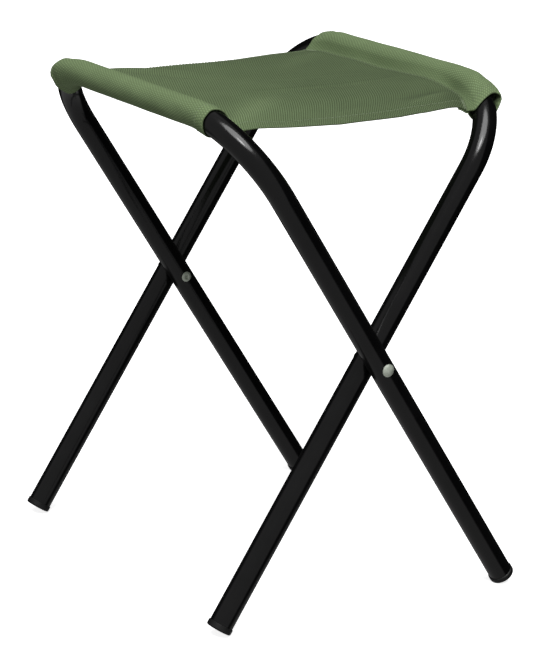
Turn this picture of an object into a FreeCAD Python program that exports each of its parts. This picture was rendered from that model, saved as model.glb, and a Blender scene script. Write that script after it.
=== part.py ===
import FreeCAD, Part
import math
import os

# Folding stool: two identical bent-tube frames crossed like an X and riveted
# together at mid height, with a cloth seat slung between their top bars.
# Millimetres. +Z is up, the stool stands on z = 0, +X runs from the left bar
# to the right bar, and +Y runs from the front pair of legs to the back pair.
# The origin is on the floor under the middle of the seat.

V = FreeCAD.Vector

# ---- driving dimensions -----------------------------------------------------
TUBE_OD = 19.0          # stock steel tube
TUBE_WALL = 1.2
HALF_SPREAD = 128.3     # bar, and leg end, from the middle plane x = 0
BAR_RISE = 391.0        # bar centre above the centre of the leg end
LEG_PITCH = 298.0       # leg to leg inside one frame
FRAME_SHIFT = 10.1      # each frame sits this far off centre in Y
BEND_R = 66.0           # centreline radius of the two bends

CAP_R = 10.2            # foot cap collar
CAP_LEN = 5.0           # what shows below the tube
CAP_ROUND = 1.5         # rounded lower rim
PLUG_R = 8.25           # plug inside the tube
PLUG_WALL = 1.7
PLUG_LEN = 18.0

RIVET_R = 2.5
HOLE_R = 2.55           # 0.05 mm running clearance
HEAD_R = 5.0
HEAD_TOP = 170.8        # |y| of the crown of both rivet heads
ROLL_R = 4.3            # rolled-over end of the rivet
ROLL_H = 1.7
TURN_GAP = 0.3          # free play against the tube that turns
WASHER_R = 6.5
WASHER_T = 0.9

SLEEVE_IN = 9.75        # cloth sleeve around the bar
SLEEVE_OUT = 10.9
CLOTH_W = 245.0         # width of the seat cloth along the bars
LEFT_FRONT_S = 23.0     # how far the left sleeve runs into the front bend
RIGHT_FRONT_S = 45.0    # and the right sleeve
PANEL_T = 1.0           # seat panel, double cloth at its hems
PANEL_SAG = 3.0
SEAM_DIP = 17.0         # degrees below level at which the panel leaves the sleeve
FRONT_DIP = 25.0        # and how much more at the front edge
SEAM_IN = 4.0           # stitch line from the sleeve
HEM_IN = 6.5            # stitch line from the free edge
THREAD_W = 0.8
THREAD_T = 0.4

# ---- derived ----------------------------------------------------------------
TUBE_R = TUBE_OD / 2.0
LEG_LEN = math.hypot(2.0 * HALF_SPREAD, BAR_RISE)
SIN_A = 2.0 * HALF_SPREAD / LEG_LEN      # leg lean from the vertical
COS_A = BAR_RISE / LEG_LEN
LIFT = CAP_ROUND * (1.0 - COS_A) + (CAP_R - CAP_ROUND) * SIN_A
BAR_Z = BAR_RISE + LIFT
PIVOT_Z = BAR_RISE / 2.0 + LIFT
DOWN = V(SIN_A, 0.0, -COS_A)             # down a leg of the left frame
Y_FRONT = -LEG_PITCH / 2.0 - FRAME_SHIFT
Y_BACK = LEG_PITCH / 2.0 - FRAME_SHIFT
STRAIGHT = LEG_PITCH - 2.0 * BEND_R      # straight part of the bar
BEND_LEN = BEND_R * math.pi / 2.0
TUBE_END = LEG_LEN - CAP_LEN             # tube end, measured down the leg


def corner(y, t):
    """Point of the left frame's plane: y across, t down the legs."""
    return V(-HALF_SPREAD, y, BAR_Z) + DOWN * t


def rod(radius, s_front, s_back):
    """Round bar along the left frame: the straight bar and as much of each
    bend as the arc lengths s_front and s_back ask for."""
    n = DOWN.cross(V(0, 1, 0))           # normal of the frame's plane
    y0, y1 = Y_FRONT + BEND_R, Y_BACK - BEND_R
    disc = Part.Face(Part.Wire(Part.makeCircle(radius, corner(y0, 0), V(0, 1, 0))))
    solid = disc.extrude(V(0, y1 - y0, 0))
    back = Part.Face(Part.Wire(Part.makeCircle(radius, corner(y1, 0), V(0, 1, 0))))
    pieces = []
    for face, yc, s, sign in ((disc, y0, s_front, 1.0), (back, y1, s_back, -1.0)):
        pieces.append(face.revolve(corner(yc, BEND_R), n, sign * math.degrees(s / BEND_R)))
    return solid.fuse(pieces).removeSplitter()


def check(shape, name):
    assert shape.isValid(), name
    for s in shape.Solids:
        assert s.Volume > 0, name
    return shape


def turned(shape):
    """The same piece on the right frame."""
    other = shape.copy()
    other.rotate(V(0, 0, 0), V(0, 0, 1), 180.0)
    return other


# ---- the two frames ---------------------------------------------------------
# Each frame is one tube bent twice; it is kept as the straight bar, the two
# bends and the two legs, which meet face to face at the ends of the bends.
def ring(y, t, along):
    """Cross-section of the tube, square to `along`."""
    centre = corner(y, t)
    rims = [
        Part.Wire(Part.makeCircle(r, centre, along)) for r in (TUBE_R, TUBE_R - TUBE_WALL)
    ]
    return Part.Face(rims[0]).cut(Part.Face(rims[1])).Faces[0]


def tube_pieces():
    n = DOWN.cross(V(0, 1, 0))           # normal of the frame's plane
    y0, y1 = Y_FRONT + BEND_R, Y_BACK - BEND_R
    across = V(0, 1, 0)
    bore = Part.makeCylinder(HOLE_R, 400.0, V(0, -200.0, PIVOT_Z), across)
    bar = ring(y0, 0, across).extrude(V(0, y1 - y0, 0))
    bends = [
        ring(y, 0, across).revolve(corner(y, BEND_R), n, sign * 90.0)
        for y, sign in ((y0, 1.0), (y1, -1.0))
    ]
    legs = [
        ring(y, BEND_R, DOWN).extrude(DOWN * (TUBE_END - BEND_R)).cut(bore)
        for y in (Y_FRONT, Y_BACK)
    ]
    return [x if x.ShapeType == "Solid" else x.Solids[0] for x in (bar, *bends, *legs)]


left_bar, left_front_bend, left_back_bend, left_front_leg, left_back_leg = tube_pieces()
right_bar = turned(left_bar)
right_back_bend, right_front_bend = turned(left_front_bend), turned(left_back_bend)
right_back_leg, right_front_leg = turned(left_front_leg), turned(left_back_leg)


# ---- foot caps --------------------------------------------------------------
def foot_cap(y):
    """Moulded cap: a collar outside the tube and a hollow plug inside it."""
    base = corner(y, TUBE_END)
    lip = 0.5
    pts = [
        V(PLUG_R - PLUG_WALL, 0, -PLUG_LEN),
        V(PLUG_R, 0, -PLUG_LEN),
        V(PLUG_R, 0, 0),
        V(CAP_R - lip, 0, 0),
        V(CAP_R, 0, lip),
        V(CAP_R, 0, CAP_LEN - CAP_ROUND),
    ]
    edges = [Part.makeLine(a, b) for a, b in zip(pts, pts[1:])]
    k = CAP_ROUND * (1.0 - math.sqrt(0.5))
    edges.append(
        Part.Arc(
            V(CAP_R, 0, CAP_LEN - CAP_ROUND),
            V(CAP_R - k, 0, CAP_LEN - k),
            V(CAP_R - CAP_ROUND, 0, CAP_LEN),
        ).toShape()
    )
    tail = [
        V(CAP_R - CAP_ROUND, 0, CAP_LEN),
        V(0, 0, CAP_LEN),
        V(0, 0, 2.0),
        V(PLUG_R - PLUG_WALL, 0, 2.0),
        V(PLUG_R - PLUG_WALL, 0, -PLUG_LEN),
    ]
    edges += [Part.makeLine(a, b) for a, b in zip(tail, tail[1:])]
    cap = Part.Face(Part.Wire(edges)).revolve(V(0, 0, 0), V(0, 0, 1), 360.0)
    # local +Z points down the leg
    cap.Placement = FreeCAD.Placement(base, FreeCAD.Rotation(V(0, 0, 1), DOWN))
    return cap


left_cap_front = foot_cap(Y_FRONT)
left_cap_back = foot_cap(Y_BACK)
right_cap_back = turned(left_cap_front)
right_cap_front = turned(left_cap_back)


# ---- rivets and spacers -----------------------------------------------------
def turn_profile(points):
    """Solid of revolution about the pivot axis from (radius, y) points; a
    three-item entry is the middle of an arc to the next point."""
    edges, i = [], 0
    pos = V(points[0][0], points[0][1], 0)
    i = 1
    while i < len(points):
        p = points[i]
        if len(p) == 3:
            q = points[i + 1]
            edges.append(Part.Arc(pos, V(p[0], p[1], 0), V(q[0], q[1], 0)).toShape())
            pos = V(q[0], q[1], 0)
            i += 2
        else:
            edges.append(Part.makeLine(pos, V(p[0], p[1], 0)))
            pos = V(p[0], p[1], 0)
            i += 1
    edges.append(Part.makeLine(pos, V(points[0][0], points[0][1], 0)))
    solid = Part.Face(Part.Wire(edges)).revolve(V(0, 0, 0), V(0, 1, 0), 360.0)
    solid.translate(V(0, 0, PIVOT_Z))
    return solid


def rivet(head_y, roll_y):
    """Rivet at the back of the stool, its head facing +Y: one turned piece.
    head_y and roll_y are the flat undersides of the head and of the rolled
    end, each resting on the outermost line of its tube."""
    rim = 0.55
    dome = HEAD_TOP - head_y - rim
    ball = (HEAD_R ** 2 + dome ** 2) / (2.0 * dome)
    half = HEAD_R / 2.0
    tip = roll_y - ROLL_H
    return turn_profile(
        [
            (0.0, HEAD_TOP),
            (half, HEAD_TOP - ball + math.sqrt(ball ** 2 - half ** 2), 0),
            (HEAD_R, head_y + rim),
            (HEAD_R, head_y),
            (RIVET_R, head_y),
            (RIVET_R, roll_y),
            (ROLL_R, roll_y),
            (ROLL_R, roll_y - 0.6),
            (3.1, tip + 0.12, 0),
            (1.7, tip + 0.25),
            (1.1, tip + 0.9),
            (0.0, tip + 0.9),
        ]
    )


leg_back_outer = LEG_PITCH / 2.0 + FRAME_SHIFT + TUBE_R      # 168.6
leg_back_inner = LEG_PITCH / 2.0 - FRAME_SHIFT - TUBE_R      # 129.4
back_rivet = rivet(leg_back_outer + TURN_GAP, leg_back_inner)
front_rivet = rivet(leg_back_outer, leg_back_inner - TURN_GAP)
front_rivet = front_rivet.mirror(V(0, 0, 0), V(0, 1, 0))


def spacer(y):
    ring = Part.makeCylinder(WASHER_R, WASHER_T, V(0, y, PIVOT_Z), V(0, 1, 0))
    return ring.cut(Part.makeCylinder(HOLE_R, WASHER_T + 2, V(0, y - 1, PIVOT_Z), V(0, 1, 0)))


front_spacer = spacer(Y_FRONT + TUBE_R)
back_spacer = spacer(Y_BACK + TUBE_R)


# ---- seat cloth -------------------------------------------------------------
LEFT_BACK_S = CLOTH_W - STRAIGHT - LEFT_FRONT_S
RIGHT_BACK_S = CLOTH_W - STRAIGHT - RIGHT_FRONT_S


def sleeve(front_s, back_s):
    return rod(SLEEVE_OUT, front_s, back_s).cut(rod(SLEEVE_IN, front_s, back_s))


left_sleeve = sleeve(LEFT_FRONT_S, LEFT_BACK_S)
# on the right frame the front bend is the left frame's back bend turned round
right_sleeve = turned(sleeve(RIGHT_BACK_S, RIGHT_FRONT_S))


def track(w, front_s, side):
    """Centre of the bar and the bar's direction at width w across the cloth,
    for the left frame (side = -1) or the right one (side = +1)."""
    s = w - front_s                       # from the start of the straight bar
    shift = FRAME_SHIFT * side
    y0 = -LEG_PITCH / 2.0 + BEND_R + shift
    y1 = LEG_PITCH / 2.0 - BEND_R + shift
    down = V(-SIN_A * side, 0.0, -COS_A)
    if s < 0.0:
        a, y, sg = -s / BEND_R, y0, -1.0
    elif s > STRAIGHT:
        a, y, sg = (s - STRAIGHT) / BEND_R, y1, 1.0
    else:
        return V(HALF_SPREAD * side, y0 + s, BAR_Z), V(0, 1, 0)
    p = V(HALF_SPREAD * side, y + sg * BEND_R * math.sin(a), BAR_Z) + down * (BEND_R * (1.0 - math.cos(a)))
    t = V(0, math.cos(a), 0) + down * (sg * math.sin(a))
    return p, t


def seam(w, side, reach):
    """Point beside the sleeve where the seat panel leaves it."""
    p, t = track(w, LEFT_FRONT_S if side < 0 else RIGHT_FRONT_S, side)
    inward = V(-side, 0, 0)
    d = inward - t * inward.dot(t)
    d.normalize()
    n = d.cross(t) * -side                # up, square to the bar
    dip = math.radians(SEAM_DIP + FRONT_DIP * math.exp(-((w / 26.0) ** 2)))
    return p + d * (reach * math.cos(dip)) - n * (reach * math.sin(dip))


def cloth_point(w, v, up):
    a = seam(w, -1, SLEEVE_OUT + 0.7)
    b = seam(w, 1, SLEEVE_OUT + 0.7)
    p = a + (b - a) * v
    sag = PANEL_SAG * 4.0 * v * (1.0 - v)
    return V(p.x, p.y, p.z - sag + up)


def strip(w0, w1, v0, v1, low, high, nw, nv):
    """Closed thin solid over part of the cloth, low..high about its middle."""
    skins = []
    for up in (low, high):
        grid = [
            [cloth_point(w0 + (w1 - w0) * i / nw, v0 + (v1 - v0) * j / nv, up) for i in range(nw + 1)]
            for j in range(nv + 1)
        ]
        surface = Part.BSplineSurface()
        surface.interpolate(grid)
        skins.append(surface)
    faces = [k.toShape() for k in skins]
    for pick in (0, 1):
        for end in (0, 1):
            pair = []
            for k in skins:
                u0, u1, p0, p1 = k.bounds()
                curve = k.uIso((u0, u1)[end]) if pick == 0 else k.vIso((p0, p1)[end])
                pair.append(curve.toShape())
            faces.append(Part.makeRuledSurface(pair[0], pair[1]))
    shell = Part.makeShell(faces)
    shell.sewShape()
    solid = Part.makeSolid(shell)
    if solid.Volume < 0:
        solid.reverse()
    return solid


seat_panel = strip(0.0, CLOTH_W, 0.0, 1.0, -PANEL_T / 2, PANEL_T / 2, 28, 8)
span = 2.0 * (HALF_SPREAD - SLEEVE_OUT)
va, vt = SEAM_IN / span, THREAD_W / span
lo = PANEL_T / 2 + 0.45
hi = lo + THREAD_T
left_seam = strip(2.0, CLOTH_W - 2.0, va, va + vt, lo, hi, 28, 1)
right_seam = strip(2.0, CLOTH_W - 2.0, 1.0 - va - vt, 1.0 - va, lo, hi, 28, 1)
front_hem = strip(HEM_IN, HEM_IN + THREAD_W, va + 3 * vt, 1.0 - va - 3 * vt, lo, hi, 1, 8)
back_hem = strip(
    CLOTH_W - HEM_IN - THREAD_W, CLOTH_W - HEM_IN, va + 3 * vt, 1.0 - va - 3 * vt, lo, hi, 1, 8
)

# ---- export -----------------------------------------------------------------
NODES = {
    "left_frame_bar": left_bar,
    "left_frame_front_bend": left_front_bend,
    "left_frame_back_bend": left_back_bend,
    "left_frame_front_leg": left_front_leg,
    "left_frame_back_leg": left_back_leg,
    "right_frame_bar": right_bar,
    "right_frame_front_bend": right_front_bend,
    "right_frame_back_bend": right_back_bend,
    "right_frame_front_leg": right_front_leg,
    "right_frame_back_leg": right_back_leg,
    "left_frame_front_foot_cap": left_cap_front,
    "left_frame_back_foot_cap": left_cap_back,
    "right_frame_front_foot_cap": right_cap_front,
    "right_frame_back_foot_cap": right_cap_back,
    "front_rivet": front_rivet,
    "back_rivet": back_rivet,
    "front_spacer": front_spacer,
    "back_spacer": back_spacer,
    "left_sleeve": left_sleeve,
    "right_sleeve": right_sleeve,
    "seat_panel": seat_panel,
    "left_seam_thread": left_seam,
    "right_seam_thread": right_seam,
    "front_hem_thread": front_hem,
    "back_hem_thread": back_hem,
}

os.makedirs("parts", exist_ok=True)
for name, shape in NODES.items():
    check(shape, name)
    shape.exportStep("parts/" + name + ".step")
    box = shape.BoundBox
    print(
        "%-28s %d solid  %9.1f mm3  x %.2f..%.2f  y %.2f..%.2f  z %.2f..%.2f"
        % (name, len(shape.Solids), shape.Volume, box.XMin, box.XMax, box.YMin, box.YMax, box.ZMin, box.ZMax)
    )
print("lift %.3f  bar_z %.3f  pivot_z %.3f  leg %.3f" % (LIFT, BAR_Z, PIVOT_Z, LEG_LEN))
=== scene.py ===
import math

import bpy
import numpy as np
from mathutils import Matrix


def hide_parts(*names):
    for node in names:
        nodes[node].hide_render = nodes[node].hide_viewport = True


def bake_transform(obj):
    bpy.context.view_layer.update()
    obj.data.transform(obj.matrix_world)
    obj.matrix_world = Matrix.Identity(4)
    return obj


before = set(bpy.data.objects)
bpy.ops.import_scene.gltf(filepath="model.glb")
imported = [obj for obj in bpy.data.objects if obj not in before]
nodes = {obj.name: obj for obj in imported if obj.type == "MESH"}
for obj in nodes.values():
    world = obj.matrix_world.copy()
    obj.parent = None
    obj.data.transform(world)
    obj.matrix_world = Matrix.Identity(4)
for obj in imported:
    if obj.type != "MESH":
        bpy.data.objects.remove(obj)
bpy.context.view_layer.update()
scene = bpy.context.scene

# ---------------------------------------------------------------- dimensions
# millimetres, as in part.py; the row frame: +X left to right, +Y front to back
HALF_SPREAD, BAR_RISE, LEG_PITCH, FRAME_SHIFT, BEND_R = 128.3, 391.0, 298.0, 10.1, 66.0
TUBE_R = 9.5
CAP_R, CAP_ROUND = 10.2, 1.5
LEG_LEN = math.hypot(2 * HALF_SPREAD, BAR_RISE)
SIN_A, COS_A = 2 * HALF_SPREAD / LEG_LEN, BAR_RISE / LEG_LEN
LIFT = CAP_ROUND * (1 - COS_A) + (CAP_R - CAP_ROUND) * SIN_A
BAR_Z = BAR_RISE + LIFT
STRAIGHT = LEG_PITCH - 2 * BEND_R
FRONT_S = {-1: 23.0, 1: 45.0}
CLOTH_R = 10.1  # middle of the cloth round the bar
CLOTH_T = 0.55


def curve(x, xs, ys, soft=9.0):
    """Value of a soft curve through (xs, ys) at x."""
    x = np.asarray(x, float)
    acc = np.zeros_like(x)
    for k in (-1.0, -0.6, -0.2, 0.2, 0.6, 1.0):
        acc += np.interp(x + k * soft, xs, ys)
    return acc / 6


def smooth(x, lo, hi):
    t = np.clip((np.asarray(x, float) - lo) / (hi - lo), 0, 1)
    return t * t * (3 - 2 * t)


def bump(x, centre, width):
    return np.exp(-(((np.asarray(x, float) - centre) / width) ** 2))


def track(w, side):
    """Centre of the bar, its direction, inward and upward, and the outside of the bend, at widths w across the cloth."""
    w = np.asarray(w, float)
    s = w - FRONT_S[side]
    shift = FRAME_SHIFT * side
    y0 = -LEG_PITCH / 2 + BEND_R + shift
    a = np.where(s < 0, -s / BEND_R, np.where(s > STRAIGHT, (s - STRAIGHT) / BEND_R, 0.0))
    sg = np.where(s < 0, -1.0, 1.0)
    y = np.where(s < 0, y0, np.where(s > STRAIGHT, y0 + STRAIGHT, y0 + s))
    down = np.array([-SIN_A * side, 0, -COS_A])
    p = np.stack([np.full_like(w, HALF_SPREAD * side), y + sg * BEND_R * np.sin(a), np.full_like(w, BAR_Z)], -1)
    p = p + down * (BEND_R * (1 - np.cos(a)))[..., None]
    t = np.stack([0 * w, np.cos(a), 0 * w], -1) + down * (sg * np.sin(a))[..., None]
    inward = np.array([-side, 0.0, 0.0])
    d = inward - t * (t @ inward)[..., None]
    d /= np.linalg.norm(d, axis=-1, keepdims=True)
    n = np.cross(d, t) * -side
    out = -down * np.cos(a)[..., None] + np.array([0, 1.0, 0]) * (sg * np.sin(a))[..., None]
    return p, t, d, n, out


# ---------------------------------------------------------------- seat cloth
# delta runs round the bar from the seam (0), under it (90), outside (180), over it (270) and back to the seam (360)
EDGE = {
    (-1, "front"): ([0, 40, 80, 102, 133, 159, 178, 208, 228, 240, 254, 285, 302, 315, 330, 360], [-4, -3.5, -2.5, -1.5, -1.5, -0.7, 0.5, 0.6, 1.2, 1.2, 0.6, 0.3, -1.2, -2.6, -3.6, -4]),
    (-1, "back"): ([0, 48, 78, 123, 153, 200, 258, 300, 360], [243, 236, 236, 238, 235, 236, 238, 241, 243]),
    (1, "front"): ([0, 30, 70, 110, 150, 180, 192, 204, 222, 248, 273, 295, 318, 336, 360], [-9.5, -10, -9.5, -8, -6, -3, 0, 3.0, 3.6, 0.5, -3, -6, -9.5, -12, -9.5]),
    (1, "back"): ([0, 48, 90, 150, 200, 258, 285, 300, 315, 339, 360], [246, 241, 238, 236, 234, 233, 233, 236, 238, 241, 246]),
}
SEAM_ANGLE = {
    -1: ([-10, 5, 20, 60, 100, 180, 215, 243, 255], [-20, -19, -17, -14, -13, -9, 2, 20, 24]),
    1: ([-12, -9.5, -3.5, 3.5, 16, 33, 46, 55, 68, 88, 109, 138, 166, 196, 230, 245, 255], [-6, -7, -12, -16, -20, -30, -23, -15, -10, -13, -18, -25, -20, -26, -23, -9, -8]),
}
SEAM_REACH = {  # bar centre to the seam; the sleeve is loose at its left front
    -1: ([-10, 0, 20, 60, 255], [16.5, 16.2, 14.8, 13.4, 13.4]),
    1: ([-10, 255], [13.2, 13.2]),
}
STAND_OFF = {  # how far the stiff cloth bridges the outside of each bend, its direction and its width, in degrees
    -1: ([-10, 0, 20, 60, 198, 208, 217, 227, 233, 240], [0, 0.4, 0, 0, 0, 2.2, 4.6, 6.4, 4.2, 0.6], 138.0, 46.0),
    1: ([-10, 0, 6, 14, 22, 34, 60, 205, 222, 232, 242], [5.4, 5.2, 4.6, 3.2, 1.8, 0, 0, 0, 0.6, 0.8, 0.4], 144.0, 19.0),
}
SAG_FRONT = ([0, 0.024, 0.062, 0.116, 0.292, 0.461, 0.557, 0.713, 0.843, 0.922, 0.948, 0.966, 0.984, 1], [0, 3.72, 3.07, 2.48, 3.8, 4.54, 3.34, 1.67, -1.34, -3.37, -3.48, -2.62, -0.56, 0])
SAG_BACK = ([0, 0.151, 0.245, 0.44, 0.652, 0.83, 0.982, 1], [0, 0.74, 1.7, 1.48, 1.69, 0.23, 0.34, 0])


def edges(side, delta):
    f, b = EDGE[(side, "front")], EDGE[(side, "back")]
    return curve(delta, *f, soft=8.0), curve(delta, *b, soft=8.0)


def seam_point(side, w, drop=0.0):
    p, t, d, n, _ = track(w, side)
    a = np.radians(curve(w, *SEAM_ANGLE[side], soft=7.0))[..., None]
    q = p + (d * np.cos(a) + n * np.sin(a)) * curve(w, *SEAM_REACH[side], soft=6.0)[..., None]
    q[..., 2] -= drop
    return q


def loop_point(side, delta, w):
    """Middle of the cloth round the bar: a teardrop drawn to the seam."""
    p, t, d, n, out = track(w, side)
    phi_s = curve(w, *SEAM_ANGLE[side], soft=7.0)
    phi = np.radians(phi_s - delta)
    off = np.radians(np.minimum(delta, 360.0 - delta))
    edge_f, edge_b = edges(side, delta)
    hem = 1 - smooth(np.minimum(w - edge_f, edge_b - w), 8.5, 12.0)
    r0 = CLOTH_R + 0.45 * hem
    seam_r = curve(w, *SEAM_REACH[side], soft=6.0)
    reach = np.arccos(CLOTH_R / seam_r)
    r = np.where(off < reach, np.minimum(r0 / np.maximum(np.cos(reach - off), 0.3), seam_r), r0)
    # soft shoulder where the teardrop leaves the round
    r = r + 0.25 * bump(off, reach, 0.22)
    u = d * np.cos(phi)[..., None] + n * np.sin(phi)[..., None]
    xs, ys, centre, spread = STAND_OFF[side]
    g = curve(w, xs, ys, soft=4.0)
    turn = (np.degrees(phi) - centre + 180.0) % 360.0 - 180.0
    r = r + g * np.exp(-((np.abs(turn) / spread) ** (1.35 if side > 0 else 2.0)))
    if side > 0:
        r = r + 0.26 * g * np.exp(-(((turn + 36.0) / 30.0) ** 2))
    else:
        # loose over the top at the front, where the opening gapes towards the seam
        r = r + 0.9 * (1 - smooth(w, 0.0, 30.0)) * np.exp(-((((np.degrees(phi) - 30.0 + 180.0) % 360.0 - 180.0) / 32.0) ** 2))
    # creases of the sleeves: rings near the bends, long soft pulls elsewhere
    deg = np.degrees(phi) % 360
    if side < 0:
        r = r + 0.9 * bump(w, 229 - 0.05 * (deg - 150), 2.4) * bump(deg, 190, 50)
        r = r - 1.3 * bump(w, 223.5 + 0.04 * (deg - 150), 2.2) * bump(deg, 195, 50)
        r = r + 0.8 * bump(w, 217, 3.4) * bump(deg, 200, 45)
        r = r + 1.0 * bump(w, 219, 5.0) * bump(deg, 100, 16)
        r = r - 0.35 * bump(w - 0.10 * (deg - 180), 196, 7.0) * bump(deg, 190, 60)
        r = r + 0.30 * bump(w + 0.16 * (deg - 180), 60, 9.0) * bump(deg, 150, 60)
        r = r - 0.28 * bump(w + 0.16 * (deg - 180), 34, 7.0) * bump(deg, 165, 60)
        r = r + 0.22 * bump(w - 0.22 * (deg - 180), 118, 14.0) * bump(deg, 170, 70)
    else:
        r = r - 0.9 * bump(w - 0.16 * (deg - 90), 15.0, 4.6) * bump(deg, 96, 36)
        r = r + 0.6 * bump(w - 0.16 * (deg - 90), 25.0, 6.0) * bump(deg, 96, 42)
        r = r + 0.55 * bump(w - 0.20 * (deg - 90), 5.0, 4.0) * bump(deg, 80, 30)
        r = r - 0.40 * bump(w - 0.14 * (deg - 90), 40.0, 6.0) * bump(deg, 80, 40)
        r = r - 0.35 * bump(w + 0.14 * (deg - 90), 222.0, 5.0) * bump(deg, 110, 50)
        r = r + 0.25 * bump(w + 0.30 * (deg - 90), 120.0, 16.0) * bump(deg, 95, 60)
    slow = 0.16 * np.sin(w * 0.115 + phi * 2.0 + side) * np.sin(w * 0.043 - phi * 3.0 + 1.3)
    r = r + slow * np.sin(off / 2) ** 2
    return p + u * r[..., None]


def ridge(x, y, x0, y0, x1, y1, width, height, taper=0.25):
    """Soft ridge along a line on the panel; x across in mm from the left seam, y = distance from the front edge."""
    dx, dy = x1 - x0, y1 - y0
    ln = math.hypot(dx, dy)
    along = ((x - x0) * dx + (y - y0) * dy) / ln**2
    off = ((x - x0) * dy - (y - y0) * dx) / ln
    ends = smooth(along, -0.02, taper) * (1 - smooth(along, 1 - taper, 1.02))
    return height * np.exp(-((off / width) ** 2)) * ends


def panel_point(rows, v):
    """rows in 0..1 from the front edge to the back, v in 0..1 from the left seam to the right."""
    ends = {}
    for side in (-1, 1):
        f, b = edges(side, np.zeros(1))
        ends[side] = (f[0], b[0])
    wl = ends[-1][0] + (ends[-1][1] - ends[-1][0]) * rows
    wr = ends[1][0] + (ends[1][1] - ends[1][0]) * rows
    left, right = seam_point(-1, wl), seam_point(1, wr)
    q = left + (right - left) * v[..., None]
    across = v * 226.0
    along = rows * 246.0
    at_front, at_back = bump(rows, 0.0, 0.17), bump(rows, 1.0, 0.17)
    z = -(at_front * np.interp(v, *SAG_FRONT) + at_back * np.interp(v, *SAG_BACK) + (1 - at_front - at_back) * 2.3 * 4 * v * (1 - v))
    # the free edges hang in a shallow curve, so they bow inwards a little too
    q[..., 1] += (4.6 * bump(rows, 0.0, 0.24) - 2.0 * bump(rows, 1.0, 0.22)) * 4 * v * (1 - v)
    # pulls from the four corners and the folds left from storage
    z += ridge(across, along, 8, 6, 104, 74, 9.0, 1.9)
    z += ridge(across, along, 4, 26, 78, 96, 9.0, -1.2)
    z += ridge(across, along, 34, 8, 130, 36, 10.0, -1.1)
    z += ridge(across, along, 60, 30, 150, 60, 8.0, 0.5)
    z += ridge(across, along, 222, 30, 168, 15, 4.5, 1.3)
    z += ridge(across, along, 222, 44, 160, 34, 7.0, -1.1)
    z += ridge(across, along, 218, 14, 178, 2, 5.0, -0.7)
    z += ridge(across, along, 70, 92, 212, 88, 2.6, 0.8)
    z += ridge(across, along, 74, 99, 212, 95, 5.0, -0.6)
    z += ridge(across, along, 100, 128, 206, 120, 4.0, 0.35)
    z += ridge(across, along, 220, 226, 128, 166, 8.0, 0.9)
    z += ridge(across, along, 222, 206, 150, 150, 9.0, -0.6)
    z += ridge(across, along, 6, 236, 90, 176, 9.0, 1.0)
    z += ridge(across, along, 6, 220, 80, 150, 9.0, -0.8)
    z += 0.22 * np.sin(across * 0.075 + along * 0.021) * np.sin(along * 0.047 + 0.6) * 4 * v * (1 - v)
    # gathers along the two seams, where the stitches draw the cloth in
    near = np.exp(-across / 5.0) + np.exp(-(226.0 - across) / 5.0)
    z += 0.14 * near * np.sin(along * 2 * math.pi / 6.6 + 0.7 * np.sin(along * 0.31))
    # the seam allowance underneath shows as a faint step, and so do the hems
    z -= 0.55 * (np.exp(-((across - 1.6) / 1.3) ** 2) + np.exp(-((226.0 - across - 1.6) / 1.3) ** 2))
    z += 0.28 * (np.exp(-((across - 4.0) / 3.6) ** 2) + np.exp(-((226.0 - across - 4.0) / 3.6) ** 2))
    z += 0.25 * ((1 - smooth(along, 9.5, 12.0)) + smooth(along, 246 - 12.0, 246 - 9.5))
    z -= 0.20 * (bump(along, 8.8, 0.9) + bump(along, 246 - 8.8, 0.9))
    q[..., 2] += z * smooth(across, 0, 3.0) * (1 - smooth(across, 223.0, 226.0))
    return q


def cloth_grid(n_rows, n_loop, n_panel, n_back):
    rows = np.linspace(0, 1, n_rows)
    cols = []
    for side in (-1, 1):
        part = []
        for delta in np.linspace(0, 360, n_loop + 1)[:-1]:
            f, b = edges(side, np.full(1, delta))
            w = f[0] + (b[0] - f[0]) * rows
            q = loop_point(side, np.full(n_rows, delta), w)
            low = 1.0 - smooth(delta, 0, 60.0)
            q[:, 2] -= (1.15 + 0.6 * bump(rows, 0, 0.045) + 0.6 * bump(rows, 1, 0.045)) * low
            part.append(q)
        # seam allowance that lies under the panel
        under = []
        v_to = 9.5 / 226.0
        for k in range(1, n_back + 1):
            v = v_to * k / n_back
            q = panel_point(rows, np.full(n_rows, v if side < 0 else 1 - v))
            q[:, 2] -= 1.15 + 0.6 * bump(rows, 0, 0.045) + 0.6 * bump(rows, 1, 0.045)
            under.append(q)
        cols.append(under[::-1] + part)
    middle = [panel_point(rows, np.full(n_rows, v)) for v in np.linspace(0, 1, n_panel)]
    grid = np.stack(cols[0] + middle + cols[1][::-1], 1)  # rows x columns x 3
    return rows, grid


def grid_normals(grid):
    du = np.gradient(grid, axis=1)
    dv = np.gradient(grid, axis=0)
    n = np.cross(du, dv)
    return n / np.maximum(np.linalg.norm(n, axis=-1, keepdims=True), 1e-9)


N_ROWS, N_LOOP, N_PANEL, N_BACK = 126, 44, 112, 5
rows, grid = cloth_grid(N_ROWS, N_LOOP, N_PANEL, N_BACK)
normals = grid_normals(grid)
lengths = np.linalg.norm(np.diff(grid, axis=0), axis=-1)
along = np.concatenate([np.zeros((1, grid.shape[1])), np.cumsum(lengths, 0)], 0)
steps = np.linalg.norm(np.diff(grid, axis=1), axis=-1)
across = np.concatenate([np.zeros((grid.shape[0], 1)), np.cumsum(steps, 1)], 1)
mid = grid.shape[0] // 2
across_flat = np.broadcast_to(across[mid] - across[mid, N_BACK + N_LOOP + N_PANEL // 2], across.shape)
col_mid = N_BACK + N_LOOP + N_PANEL // 2
HEM = 11.0
LAYER = CLOTH_T + 0.05
body = list(range(N_ROWS))
hem_f, hem_b = [], []
total = along[-1]
spans = [10.5, 8.0, 5.5, 3.2, 1.4]


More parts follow.
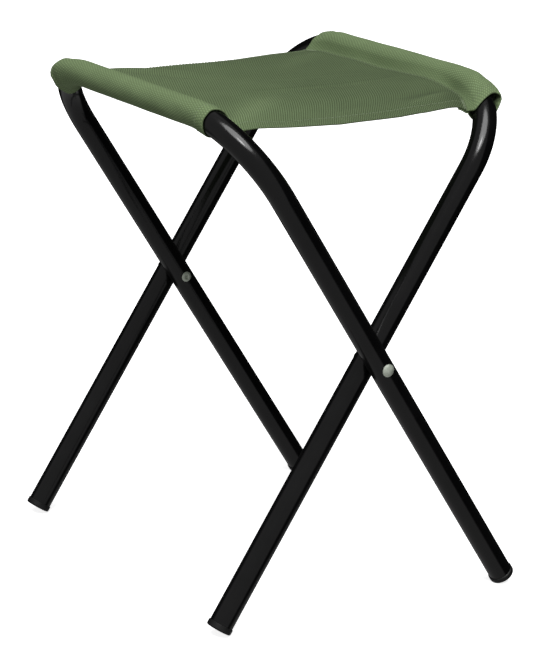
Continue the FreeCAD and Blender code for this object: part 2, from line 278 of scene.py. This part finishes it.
def at_distance(dist):
    """Point and normal of every column at that distance from the front edge (from the back one if negative)."""
    out = np.zeros((grid.shape[1], 3))
    nor = np.zeros((grid.shape[1], 3))
    for c in range(grid.shape[1]):
        x = dist if dist >= 0 else total[c] + dist
        for k in range(3):
            out[c, k] = np.interp(x, along[:, c], grid[:, c, k])
            nor[c, k] = np.interp(x, along[:, c], normals[:, c, k])
    nor /= np.linalg.norm(nor, axis=-1, keepdims=True)
    return out, nor


layers, v_flat = [], []
for s in spans:
    q, n = at_distance(s)
    layers.append(q - n * LAYER)
    v_flat.append(np.full(grid.shape[1], -s))
first_dir = grid[0] - grid[1]
first_dir /= np.linalg.norm(first_dir, axis=-1, keepdims=True)
layers.append(grid[0] + first_dir * (LAYER * 0.42) - normals[0] * (LAYER * 0.5))
v_flat.append(np.full(grid.shape[1], -0.3))
for i in range(N_ROWS):
    layers.append(grid[i])
    v_flat.append(along[i] * 0 + rows[i] * 245.0)
last_dir = grid[-1] - grid[-2]
last_dir /= np.linalg.norm(last_dir, axis=-1, keepdims=True)
layers.append(grid[-1] + last_dir * (LAYER * 0.42) - normals[-1] * (LAYER * 0.5))
v_flat.append(np.full(grid.shape[1], 245.3))
for s in spans[::-1]:
    q, n = at_distance(-s)
    layers.append(q - n * LAYER)
    v_flat.append(np.full(grid.shape[1], 245.0 + s))
sheet = np.stack(layers, 0)
v_flat = np.stack(v_flat, 0)
R, C = sheet.shape[:2]


def mesh_from(name, verts, faces):
    me = bpy.data.meshes.new(name)
    me.from_pydata([tuple(p) for p in verts], [], faces)
    me.update()
    ob = bpy.data.objects.new(name, me)
    scene.collection.objects.link(ob)
    return ob


faces = []
for i in range(R - 1):
    for j in range(C - 1):
        a = i * C + j
        faces.append((a, a + 1, a + C + 1, a + C))
cloth = mesh_from("seat_cloth", sheet.reshape(-1, 3) / 1000.0, faces)
uv = cloth.data.uv_layers.new(name="cloth")
u_all = np.broadcast_to(across_flat[mid], (R, C))
flat_uv = np.stack([u_all, v_flat], -1).reshape(-1, 2) / 1000.0
loops = np.zeros(len(cloth.data.loops), np.int32)
cloth.data.loops.foreach_get("vertex_index", loops)
uv.data.foreach_set("uv", flat_uv[loops].astype(np.float32).ravel())
for poly in cloth.data.polygons:
    poly.use_smooth = True
# painted light and shade of the panel's folds, stored per vertex: above 0.5 paints light on fold ridges, below 0.5
# paints shade in the troughs
tone = np.full((R, C), 0.5)
vv = np.linspace(0, 1, N_PANEL)
top_rows = len(spans) + 1
for i in range(N_ROWS):
    x, y = vv * 226.0, np.full(N_PANEL, rows[i] * 246.0)
    t = ridge(x, y, 4, 2, 92, 84, 11.0, 0.30, 0.35) + ridge(x, y, 8, 40, 60, 100, 12.0, -0.10, 0.35)
    t += ridge(x, y, 74, 97, 218, 89, 2.6, 0.20) + ridge(x, y, 74, 103, 218, 96, 4.0, -0.09)
    t += ridge(x, y, 224, 34, 172, 16, 4.0, 0.22, 0.35) + ridge(x, y, 224, 46, 168, 30, 6.0, -0.12, 0.35)
    t += ridge(x, y, 120, 134, 214, 122, 4.0, 0.07) + ridge(x, y, 222, 222, 150, 170, 7.0, 0.10)
    # painted shade at the right front corner and along the right seam
    t += -0.20 * bump(x, 214, 9) * bump(y, 14, 22) - 0.10 * bump(x, 223, 5)
    t += 0.12 * (bump(x, 225.5, 1.0) + bump(x, 0.5, 1.0)) * bump(y, 5, 9)
    tone[top_rows + i, N_BACK + N_LOOP : N_BACK + N_LOOP + N_PANEL] += t
fold_shading_attr = cloth.data.attributes.new("fold_light_and_shade", "FLOAT", "POINT")
fold_shading_attr.data.foreach_set("value", np.clip(tone, 0, 1).astype(np.float32).ravel())
solid = cloth.modifiers.new("thickness", "SOLIDIFY")
solid.thickness = CLOTH_T / 1000.0
solid.offset = 0.0
solid.use_even_offset = False

# ---------------------------------------------------------------- stitches
st_verts, st_faces = [], []


def surface_at(row_mm, col):
    """Top of the cloth at a distance from the front edge and a (fractional) column."""
    j = int(math.floor(col))
    j = min(max(j, 0), grid.shape[1] - 2)
    f = col - j
    x = row_mm if row_mm >= 0 else float(total[j]) + row_mm
    p = np.array([np.interp(x, along[:, j], grid[:, j, k]) * (1 - f) + np.interp(x, along[:, j + 1], grid[:, j + 1, k]) * f for k in range(3)])
    n = np.array([np.interp(x, along[:, j], normals[:, j, k]) for k in range(3)])
    return p, n / np.linalg.norm(n)


def stitch(a, b, n, radius=0.27, sides=6):
    """One stitch from a to b, dipping into the cloth at both ends."""
    a, b, n = (np.asarray(x, float) for x in (a, b, n))
    d = b - a
    ln = np.linalg.norm(d)
    if ln < 0.2:
        return
    d /= ln
    side = np.cross(n, d)
    side /= np.linalg.norm(side)
    up = np.cross(d, side)
    base = len(st_verts)
    prof = [(0.0, 0.35, -0.42), (0.10, 0.85, -0.12), (0.32, 1.0, 0.06), (0.68, 1.0, 0.06), (0.90, 0.85, -0.12), (1.0, 0.35, -0.42)]
    for s, r, h in prof:
        centre = a + d * ln * s + up * h
        for k in range(sides):
            t = 2 * math.pi * k / sides
            st_verts.append(tuple((centre + (side * math.cos(t) + up * math.sin(t) * 0.8) * radius * r) / 1000.0))
    for i in range(len(prof) - 1):
        for k in range(sides):
            q, p = base + i * sides, (k + 1) % sides
            st_faces.append((q + k, q + p, q + sides + p, q + sides + k))
    st_faces.append(tuple(base + k for k in range(sides))[::-1])
    st_faces.append(tuple(base + (len(prof) - 1) * sides + k for k in range(sides)))


rng = np.random.default_rng(7)
P0 = N_BACK + N_LOOP  # first panel column
PITCH, GAP = 3.1, 0.7


def run(points, lift, under):
    """Stitches along a line of (point, normal); each takes PITCH of its length."""
    pts = np.array([p for p, _ in points])
    nor = np.array([n for _, n in points])
    arc = np.concatenate([[0], np.cumsum(np.linalg.norm(np.diff(pts, axis=0), axis=-1))])
    x = 1.0
    while x + PITCH < arc[-1]:
        e = x + PITCH - GAP + rng.uniform(-0.12, 0.12)
        jig = rng.uniform(-0.07, 0.07, 2)
        a, b, n = (np.array([np.interp(s, arc, m[:, k]) for k in range(3)]) for s, m in ((x, pts), (e, pts), ((x + e) / 2, nor)))
        n /= np.linalg.norm(n)
        side = np.cross(n, b - a)
        side /= np.linalg.norm(side)
        stitch(a + n * lift + side * jig[0], b + n * lift + side * jig[1], n)
        if under:
            stitch(a - n * under, b - n * under, -n)
        x += PITCH


TOP = CLOTH_T / 2 + 0.10
for dist in (8.8, -8.8):
    line = [surface_at(dist, c) for c in np.linspace(P0 + 1.2, P0 + N_PANEL - 2.2, 90)]
    run(line, TOP, LAYER + CLOTH_T / 2 + 0.05)
    for c0, c1 in ((3, P0 - 2), (P0 + N_PANEL + 2, C - 4)):
        run([surface_at(dist, c) for c in np.linspace(c0, c1, 40)], TOP, 0)
for col in (P0 + 1.35, P0 + N_PANEL - 1 - 1.35):
    line = [surface_at(x, col) for x in np.linspace(3.0, float(total[int(col)]) - 3.0, 90)]
    run(line, TOP - 0.13, 1.45 + CLOTH_T / 2)


def tack(col, row0, row1, width, n=15):
    """Close zigzag that locks the end of a seam."""
    for k in range(n):
        r = row0 + (row1 - row0) * k / (n - 1)
        e = r + (row1 - row0) / (n - 1) * 0.5
        a, na = surface_at(r, col - width / 2)
        b, nb = surface_at(e, col + width / 2)
        stitch(a + na * (TOP + 0.05), b + nb * (TOP + 0.05), na, radius=0.30)


tack(P0 + 1.4, 1.2, 13.0, 1.5)
tack(P0 + 1.4, -1.2, -13.0, 1.5)
tack(P0 + N_PANEL - 2.4, 1.2, 14.0, 1.6)
tack(P0 + N_PANEL - 2.4, -1.2, -13.0, 1.6)
stitches = mesh_from("seat_stitching", st_verts, st_faces)
for poly in stitches.data.polygons:
    poly.use_smooth = True


# ---------------------------------------------------------------- materials
def material(name):
    m = bpy.data.materials.new(name)
    m.use_nodes = True
    nt = m.node_tree
    nt.nodes.clear()
    out = nt.nodes.new("ShaderNodeOutputMaterial")
    bsdf = nt.nodes.new("ShaderNodeBsdfPrincipled")
    nt.links.new(bsdf.outputs[0], out.inputs[0])
    return m, nt, bsdf


def node(nt, kind, **values):
    n = nt.nodes.new(kind)
    for k, v in values.items():
        if hasattr(n, k) and not k[0].isupper():
            setattr(n, k, v)
        else:
            n.inputs[k].default_value = v
    return n


def maths(nt, op, a, b=None, clamp=False):
    n = nt.nodes.new("ShaderNodeMath")
    n.operation = op
    n.use_clamp = clamp
    for i, x in enumerate((a, b)):
        if x is None:
            continue
        if isinstance(x, (int, float)):
            n.inputs[i].default_value = x
        else:
            nt.links.new(x, n.inputs[i])
    return n.outputs[0]


def ramp(nt, fac, stops):
    r = nt.nodes.new("ShaderNodeValToRGB")
    el = r.color_ramp.elements
    while len(el) < len(stops):
        el.new(0.5)
    for e, (pos, col) in zip(el, stops):
        e.position = pos
        e.color = (*col, 1) if len(col) == 3 else col
    nt.links.new(fac, r.inputs[0])
    return r.outputs[0]


def fabric():
    m, nt, bsdf = material("green_oxford_cloth")
    uvn = nt.nodes.new("ShaderNodeUVMap")
    uvn.uv_map = "cloth"
    sep = nt.nodes.new("ShaderNodeSeparateXYZ")
    # a little wander in the yarns
    wander = node(nt, "ShaderNodeTexNoise", noise_dimensions="2D", Scale=160.0, Detail=2.0)
    nt.links.new(uvn.outputs[0], wander.inputs["Vector"])
    shift = nt.nodes.new("ShaderNodeVectorMath")
    shift.operation = "MULTIPLY_ADD"
    nt.links.new(wander.outputs["Color"], shift.inputs[0])
    shift.inputs[1].default_value = (0.00022, 0.00022, 0)
    nt.links.new(uvn.outputs[0], shift.inputs[2])
    nt.links.new(shift.outputs[0], sep.inputs[0])
    yarn = 0.00104
    su = maths(nt, "SINE", maths(nt, "MULTIPLY", sep.outputs[0], math.pi / yarn))
    sv = maths(nt, "SINE", maths(nt, "MULTIPLY", sep.outputs[1], math.pi / (2.1 * yarn)))
    # plainer on the sleeves, where the cloth is stretched round the bars
    side_u = maths(nt, "ABSOLUTE", sep.outputs[0])
    depth = ramp(nt, maths(nt, "MULTIPLY", side_u, 4.0), [(4 * 0.1115, (1, 1, 1)), (4 * 0.1160, (0.42, 0.42, 0.42))])
    prod = maths(nt, "MULTIPLY", maths(nt, "MULTIPLY", su, sv), depth)
    crown = maths(nt, "POWER", maths(nt, "ABSOLUTE", prod), 0.6)
    over = maths(nt, "ADD", maths(nt, "MULTIPLY", prod, 0.5), 0.5)
    # colour: painted light and shade of the weave: warp yarns painted lighter where they catch more light than weft,
    # the gaps between yarns painted dark as shade, then slow dye variation
    base = ramp(nt, over, [(0.0, (0.066, 0.093, 0.044)), (0.5, (0.200, 0.278, 0.134)), (1.0, (0.400, 0.550, 0.276))])
    # painted shade in the gaps between the yarns
    yarn_gap_shade = ramp(nt, crown, [(0.0, (0.70, 0.70, 0.70)), (0.40, (1.0, 1.0, 1.0))])
    mul = node(nt, "ShaderNodeMix", data_type="RGBA", blend_type="MULTIPLY")
    mul.inputs[0].default_value = 1.0
    nt.links.new(base, mul.inputs[6])
    nt.links.new(yarn_gap_shade, mul.inputs[7])
    blot = node(nt, "ShaderNodeTexNoise", noise_dimensions="2D", Scale=22.0, Detail=4.0, Roughness=0.6)
    nt.links.new(uvn.outputs[0], blot.inputs["Vector"])
    fine = node(nt, "ShaderNodeTexNoise", noise_dimensions="2D", Scale=900.0, Detail=2.0)
    nt.links.new(uvn.outputs[0], fine.inputs["Vector"])
    tone = maths(nt, "ADD", maths(nt, "MULTIPLY", blot.outputs[0], 0.34), maths(nt, "MULTIPLY", fine.outputs[0], 0.30))
    tone_c = ramp(nt, tone, [(0.12, (0.86, 0.86, 0.86)), (0.52, (1.12, 1.12, 1.12))])
    mul2 = node(nt, "ShaderNodeMix", data_type="RGBA", blend_type="MULTIPLY")
    mul2.inputs[0].default_value = 1.0
    nt.links.new(mul.outputs[2], mul2.inputs[6])
    nt.links.new(tone_c, mul2.inputs[7])
    # the seat panel is painted darker than the sleeves, and darker still towards its right: painted shade standing in
    # for the panel's lighting
    flat = nt.nodes.new("ShaderNodeSeparateXYZ")
    nt.links.new(uvn.outputs[0], flat.inputs[0])
    panel_painted_shade = ramp(
        nt,
        maths(nt, "ADD", maths(nt, "MULTIPLY", flat.outputs[0], 2.0), 0.5),
        [(0.5 - 2 * 0.1165, (1, 1, 1)), (0.5 - 2 * 0.1125, (0.72, 0.72, 0.72)), (0.5, (0.56, 0.56, 0.56)), (0.5 + 2 * 0.1125, (0.48, 0.48, 0.48)), (0.5 + 2 * 0.1165, (1, 1, 1))],
    )
    mul3 = node(nt, "ShaderNodeMix", data_type="RGBA", blend_type="MULTIPLY")
    mul3.inputs[0].default_value = 1.0
    nt.links.new(mul2.outputs[2], mul3.inputs[6])
    nt.links.new(panel_painted_shade, mul3.inputs[7])
    # painted light and shade along the panel's folds and creases: paler on the lit ridges, darker in the shaded
    # troughs
    fold_shading_node = nt.nodes.new("ShaderNodeAttribute")
    fold_shading_node.attribute_name = "fold_light_and_shade"
    tint = ramp(nt, fold_shading_node.outputs["Fac"], [(0.0, (0.5, 0.5, 0.5)), (0.5, (1, 1, 1)), (1.0, (1.5, 1.48, 1.5))])
    mul4 = node(nt, "ShaderNodeMix", data_type="RGBA", blend_type="MULTIPLY")
    mul4.inputs[0].default_value = 1.0
    nt.links.new(mul3.outputs[2], mul4.inputs[6])
    nt.links.new(tint, mul4.inputs[7])
    nt.links.new(mul4.outputs[2], bsdf.inputs["Base Color"])
    rough = ramp(nt, crown, [(0.0, (0.95, 0.95, 0.95)), (1.0, (0.68, 0.68, 0.68))])
    nt.links.new(rough, bsdf.inputs["Roughness"])
    bsdf.inputs["Specular IOR Level"].default_value = 0.20
    bsdf.inputs["Sheen Weight"].default_value = 0.05
    bsdf.inputs["Sheen Roughness"].default_value = 0.45
    bsdf.inputs["Sheen Tint"].default_value = (0.75, 0.9, 0.62, 1)
    height = maths(nt, "ADD", crown, maths(nt, "MULTIPLY", fine.outputs[0], 0.5))
    bmp = nt.nodes.new("ShaderNodeBump")
    bmp.inputs["Strength"].default_value = 0.75
    bmp.inputs["Distance"].default_value = 0.00022
    nt.links.new(height, bmp.inputs["Height"])
    nt.links.new(bmp.outputs[0], bsdf.inputs["Normal"])
    return m


def thread():
    m, nt, bsdf = material("green_sewing_thread")
    tc = nt.nodes.new("ShaderNodeTexCoord")
    noise = node(nt, "ShaderNodeTexNoise", Scale=1400.0, Detail=2.0)
    nt.links.new(tc.outputs["Object"], noise.inputs["Vector"])
    col = ramp(nt, noise.outputs[0], [(0.3, (0.13, 0.175, 0.095)), (0.7, (0.26, 0.33, 0.19))])
    nt.links.new(col, bsdf.inputs["Base Color"])
    bsdf.inputs["Roughness"].default_value = 0.62
    bsdf.inputs["Sheen Weight"].default_value = 0.3
    bmp = nt.nodes.new("ShaderNodeBump")
    bmp.inputs["Strength"].default_value = 0.4
    bmp.inputs["Distance"].default_value = 0.0001
    nt.links.new(noise.outputs[0], bmp.inputs["Height"])
    nt.links.new(bmp.outputs[0], bsdf.inputs["Normal"])
    return m


def black_paint():
    m, nt, bsdf = material("black_gloss_powder_coat")
    tc = nt.nodes.new("ShaderNodeTexCoord")
    peel = node(nt, "ShaderNodeTexNoise", Scale=520.0, Detail=3.0, Roughness=0.55)
    nt.links.new(tc.outputs["Object"], peel.inputs["Vector"])
    cloud = node(nt, "ShaderNodeTexNoise", Scale=26.0, Detail=5.0, Roughness=0.62)
    nt.links.new(tc.outputs["Object"], cloud.inputs["Vector"])
    specks = node(nt, "ShaderNodeTexNoise", Scale=1500.0, Detail=1.0)
    nt.links.new(tc.outputs["Object"], specks.inputs["Vector"])
    spot = ramp(nt, specks.outputs[0], [(0.72, (0, 0, 0)), (0.80, (1, 1, 1))])
    col = ramp(nt, cloud.outputs[0], [(0.35, (0.0018, 0.0018, 0.0020)), (0.70, (0.0042, 0.0042, 0.0044))])
    mix = node(nt, "ShaderNodeMix", data_type="RGBA", blend_type="ADD")
    mix.inputs[0].default_value = 0.006
    nt.links.new(col, mix.inputs[6])
    nt.links.new(spot, mix.inputs[7])
    nt.links.new(mix.outputs[2], bsdf.inputs["Base Color"])
    rough = maths(nt, "ADD", maths(nt, "MULTIPLY", cloud.outputs[0], 0.12), 0.10)
    nt.links.new(rough, bsdf.inputs["Roughness"])
    bsdf.inputs["Specular IOR Level"].default_value = 0.50
    bmp = nt.nodes.new("ShaderNodeBump")
    bmp.inputs["Strength"].default_value = 0.10
    bmp.inputs["Distance"].default_value = 0.0003
    nt.links.new(peel.outputs[0], bmp.inputs["Height"])
    nt.links.new(bmp.outputs[0], bsdf.inputs["Normal"])
    return m


def black_plastic():
    m, nt, bsdf = material("black_moulded_plastic")
    tc = nt.nodes.new("ShaderNodeTexCoord")
    grain = node(nt, "ShaderNodeTexNoise", Scale=1100.0, Detail=3.0)
    nt.links.new(tc.outputs["Object"], grain.inputs["Vector"])
    scuff = node(nt, "ShaderNodeTexNoise", Scale=120.0, Detail=6.0, Roughness=0.7)
    nt.links.new(tc.outputs["Object"], scuff.inputs["Vector"])
    col = ramp(nt, scuff.outputs[0], [(0.35, (0.004, 0.004, 0.0045)), (0.72, (0.011, 0.011, 0.011))])
    nt.links.new(col, bsdf.inputs["Base Color"])
    rough = maths(nt, "ADD", maths(nt, "MULTIPLY", scuff.outputs[0], 0.25), 0.40)
    nt.links.new(rough, bsdf.inputs["Roughness"])
    bsdf.inputs["Specular IOR Level"].default_value = 0.4
    bmp = nt.nodes.new("ShaderNodeBump")
    bmp.inputs["Strength"].default_value = 0.25
    bmp.inputs["Distance"].default_value = 0.00015
    nt.links.new(grain.outputs[0], bmp.inputs["Height"])
    nt.links.new(bmp.outputs[0], bsdf.inputs["Normal"])
    return m


def zinc():
    m, nt, bsdf = material("zinc_plated_rivet")
    tc = nt.nodes.new("ShaderNodeTexCoord")
    noise = node(nt, "ShaderNodeTexNoise", Scale=420.0, Detail=5.0, Roughness=0.65)
    nt.links.new(tc.outputs["Object"], noise.inputs["Vector"])
    col = ramp(nt, noise.outputs[0], [(0.30, (0.52, 0.58, 0.48)), (0.70, (0.80, 0.86, 0.75))])
    nt.links.new(col, bsdf.inputs["Base Color"])
    bsdf.inputs["Metallic"].default_value = 0.35
    rough = maths(nt, "ADD", maths(nt, "MULTIPLY", noise.outputs[0], 0.25), 0.22)
    nt.links.new(rough, bsdf.inputs["Roughness"])
    bmp = nt.nodes.new("ShaderNodeBump")
    bmp.inputs["Strength"].default_value = 0.22
    bmp.inputs["Distance"].default_value = 0.0002
    nt.links.new(noise.outputs[0], bmp.inputs["Height"])
    nt.links.new(bmp.outputs[0], bsdf.inputs["Normal"])
    return m


def dress(ob, mat):
    ob.data.materials.clear()
    ob.data.materials.append(mat)


MAT = {"cloth": fabric(), "thread": thread(), "paint": black_paint(), "plastic": black_plastic(), "zinc": zinc()}
for name, ob in nodes.items():
    if "rivet" in name:
        dress(ob, MAT["zinc"])
    elif "foot_cap" in name or "spacer" in name:
        dress(ob, MAT["plastic"])
    elif "_bar" in name or "_bend" in name or "_leg" in name or "tube" in name:
        dress(ob, MAT["paint"])
    elif "thread" in name:
        dress(ob, MAT["thread"])
    else:
        dress(ob, MAT["cloth"])
dress(cloth, MAT["cloth"])
dress(stitches, MAT["thread"])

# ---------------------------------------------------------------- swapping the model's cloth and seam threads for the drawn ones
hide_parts("left_sleeve", "right_sleeve", "seat_panel")
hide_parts("left_seam_thread", "right_seam_thread", "front_hem_thread", "back_hem_thread")
for ob in (cloth, stitches):
    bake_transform(ob)

# ---------------------------------------------------------------- floor, light, camera
me = bpy.data.meshes.new("floor")
S = 30.0
me.from_pydata([(-S, -S, 0), (S, -S, 0), (S, S, 0), (-S, S, 0)], [], [(0, 1, 2, 3)])
floor = bpy.data.objects.new("floor", me)
scene.collection.objects.link(floor)
fm, fnt, fb = material("pale_floor")
fb.inputs["Base Color"].default_value = (0.86, 0.86, 0.86, 1)
fb.inputs["Roughness"].default_value = 0.9
fb.inputs["Specular IOR Level"].default_value = 0.1
fb.inputs["Emission Color"].default_value = (1, 1, 1, 1)
fb.inputs["Emission Strength"].default_value = 0.85
dress(floor, fm)
floor.visible_glossy = False
floor.visible_diffuse = False

world = bpy.data.worlds.new("studio")
scene.world = world
world.use_nodes = True
wt = world.node_tree
wt.nodes.clear()
wo = wt.nodes.new("ShaderNodeOutputWorld")
bg = wt.nodes.new("ShaderNodeBackground")
tc = wt.nodes.new("ShaderNodeTexCoord")
sp = wt.nodes.new("ShaderNodeSeparateXYZ")
wt.links.new(tc.outputs["Generated"], sp.inputs[0])


def step(value, lo, hi):
    r = wt.nodes.new("ShaderNodeMapRange")
    r.interpolation_type = "SMOOTHSTEP"
    r.inputs[1].default_value, r.inputs[2].default_value = lo, hi
    wt.links.new(value, r.inputs[0])
    return r.outputs[0]


# wide dim panels in front and to the left, black drapes to the right and behind, pale floor far below
in_front = maths(wt, "MULTIPLY", maths(wt, "SUBTRACT", 1.0, step(sp.outputs[0], 0.34, 0.48)), maths(wt, "SUBTRACT", 1.0, step(sp.outputs[1], 0.50, 0.72)))
low = maths(wt, "SUBTRACT", 1.0, step(sp.outputs[2], -0.62, -0.48))
lit = maths(wt, "MAXIMUM", in_front, low)
skyc = maths(wt, "ADD", maths(wt, "MULTIPLY", lit, 0.27), 0.012)
wt.links.new(skyc, bg.inputs[1])
bg.inputs[0].default_value = (1.0, 1.0, 1.0, 1)
wt.links.new(bg.outputs[0], wo.inputs[0])


def sun(name, direction, strength, angle):
    d = bpy.data.lights.new(name, "SUN")
    d.energy = strength
    d.angle = math.radians(angle)
    o = bpy.data.objects.new(name, d)
    scene.collection.objects.link(o)
    v = np.array(direction, float)
    v /= np.linalg.norm(v)
    from mathutils import Vector

    o.rotation_mode = "QUATERNION"
    o.rotation_quaternion = Vector(v).to_track_quat("Z", "Y")
    return o


sun("key", (-0.17, -0.36, 0.91), 2.20, 44.0)
sun("spot", (-0.30, -0.50, 0.80), 0.35, 11.0)

cam_data = bpy.data.cameras.new("camera")
cam = bpy.data.objects.new("camera", cam_data)
scene.collection.objects.link(cam)
cam_data.sensor_fit = "AUTO"
cam_data.sensor_width = 36.0
cam_data.lens = 2417.31 * 36.0 / 670.0
cam_data.clip_start, cam_data.clip_end = 0.05, 100.0
right = (0.8421473, -0.53876407, 0.02283005)
up = (0.13876338, 0.25742473, 0.95628303)
back = (-0.52108795, -0.8021632, 0.29155026)
where = (-1.021088, -1.576474, 0.755814)
cam.matrix_world = Matrix([[right[i], up[i], back[i], where[i]] for i in range(3)] + [[0, 0, 0, 1]])
scene.camera = cam
scene.view_settings.view_transform = "Standard"
scene.view_settings.look = "None"
